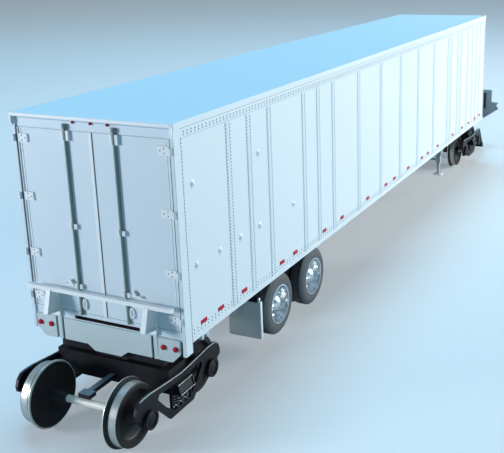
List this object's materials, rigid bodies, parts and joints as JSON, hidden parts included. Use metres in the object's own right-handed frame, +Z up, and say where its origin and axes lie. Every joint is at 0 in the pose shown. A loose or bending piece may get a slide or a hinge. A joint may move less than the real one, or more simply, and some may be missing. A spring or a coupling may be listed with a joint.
{
  "type": "model bimodal road-rail trailer on rail bogies",
  "caption": "Scale model of a sheet-and-post van trailer that runs on road or rail, shown on two swivelling rail bogies with its road wheels lifted clear.",
  "frame": {"origin": "centre of the whole model's bounding box in x and y, at the lowest point of the wheel flanges", "axes": "+X towards the nose, +Y to the model's left, +Z up"},
  "size_m": [0.2289, 0.03, 0.0494],
  "materials": {
    "black_frame": "black moulded plastic",
    "white_trim": "white painted separate fittings",
    "light_grey": "light grey painted lower rear parts",
    "red_lens": "red lens paint",
    "dark_metal": "dark grey-green metal rods",
    "flap_grey": "grey flexible sheet",
    "white_shell": "white painted moulded shell, satin",
    "platform_grey": "mid grey moulded plastic",
    "wheel_steel": "turned steel treads and axle, blackened faces",
    "chrome_rim": "bright plated rims",
    "tyre_rubber": "dark grey rubber"
  },
  "bodies": {
    "trailer": {"air_springs": "black_frame", "bogie_seat_lead": "black_frame", "bogie_seat_rear": "black_frame", "bumper_guard": "white_trim", "coupling_apron": "light_grey", "cross_members": "black_frame", "door_hinges": "white_trim", "door_seam_strip": "white_trim", "flap_hangers": "black_frame", "floor": "black_frame", "header_lamps": "red_lens", "knuckle_coupler": "black_frame", "lamp_panels": "light_grey", "landing_braces": "black_frame", "landing_feet": "black_frame", "landing_legs": "black_frame", "lock_rods": "dark_metal", "mud_flaps": "flap_grey", "nose_wall": "white_shell", "platform_end_frame": "platform_grey", "platform_sill": "platform_grey", "platform_slats": "black_frame", "rear_door_left": "white_shell", "rear_door_right": "white_shell", "rear_frame": "white_shell", "road_axles": "black_frame", "rod_keepers": "white_trim", "roof": "white_shell", "side_brackets": "light_grey", "side_bumps": "white_trim", "side_reflectors": "red_lens", "side_wall_left": "white_shell", "side_wall_right": "white_shell", "suspension_rails": "black_frame", "tail_lamps": "red_lens", "trailing_arms": "black_frame"},
    "bogie_lead": {"bogie_springs_lead": "black_frame", "bolster_lead": "black_frame", "centre_bars_lead": "black_frame", "lead_end_beam": "black_frame", "side_frames_lead": "black_frame"},
    "bogie_rear": {"bogie_springs_rear": "black_frame", "bolster_rear": "black_frame", "centre_bars_rear": "black_frame", "side_frames_rear": "black_frame"},
    "wheelset_lead_a": {"rail_wheelset_lead_a": "wheel_steel"},
    "wheelset_lead_b": {"rail_wheelset_lead_b": "wheel_steel"},
    "wheelset_rear_a": {"rail_wheelset_rear_a": "wheel_steel"},
    "wheelset_rear_b": {"rail_wheelset_rear_b": "wheel_steel"},
    "road_wheels_fore_left": {"road_rims_fore_left": "chrome_rim", "road_tyres_fore_left": "tyre_rubber"},
    "road_wheels_fore_right": {"road_rims_fore_right": "chrome_rim", "road_tyres_fore_right": "tyre_rubber"},
    "road_wheels_rear_left": {"road_rims_rear_left": "chrome_rim", "road_tyres_rear_left": "tyre_rubber"},
    "road_wheels_rear_right": {"road_rims_rear_right": "chrome_rim", "road_tyres_rear_right": "tyre_rubber"}
  },
  "joints": [
    {"name": "bogie_rear_swivel", "type": "hinge", "parent": "trailer", "child": "bogie_rear", "pos_m": [-0.10015, 0, 0.0095], "axis": [0, 0, 1], "range_deg": [-10, 10]},
    {"name": "wheelset_rear_a_spin", "type": "hinge", "parent": "bogie_rear", "child": "wheelset_rear_a", "pos_m": [-0.10895, 0, 0.0055], "axis": [0, 1, 0], "continuous": true},
    {"name": "wheelset_rear_b_spin", "type": "hinge", "parent": "bogie_rear", "child": "wheelset_rear_b", "pos_m": [-0.09135, 0, 0.0055], "axis": [0, 1, 0], "continuous": true},
    {"name": "bogie_lead_swivel", "type": "hinge", "parent": "trailer", "child": "bogie_lead", "pos_m": [0.08185, 0, 0.0095], "axis": [0, 0, 1], "range_deg": [-10, 10]},
    {"name": "wheelset_lead_a_spin", "type": "hinge", "parent": "bogie_lead", "child": "wheelset_lead_a", "pos_m": [0.07305, 0, 0.0055], "axis": [0, 1, 0], "continuous": true},
    {"name": "wheelset_lead_b_spin", "type": "hinge", "parent": "bogie_lead", "child": "wheelset_lead_b", "pos_m": [0.09065, 0, 0.0055], "axis": [0, 1, 0], "continuous": true},
    {"name": "road_wheels_rear_right_spin", "type": "hinge", "parent": "trailer", "child": "road_wheels_rear_right", "pos_m": [-0.07055, -0.0112, 0.0089], "axis": [0, 1, 0], "continuous": true},
    {"name": "road_wheels_rear_left_spin", "type": "hinge", "parent": "trailer", "child": "road_wheels_rear_left", "pos_m": [-0.07055, 0.0112, 0.0089], "axis": [0, 1, 0], "continuous": true},
    {"name": "road_wheels_fore_right_spin", "type": "hinge", "parent": "trailer", "child": "road_wheels_fore_right", "pos_m": [-0.05565, -0.0112, 0.0089], "axis": [0, 1, 0], "continuous": true},
    {"name": "road_wheels_fore_left_spin", "type": "hinge", "parent": "trailer", "child": "road_wheels_fore_left", "pos_m": [-0.05565, 0.0112, 0.0089], "axis": [0, 1, 0], "continuous": true}
  ]
}
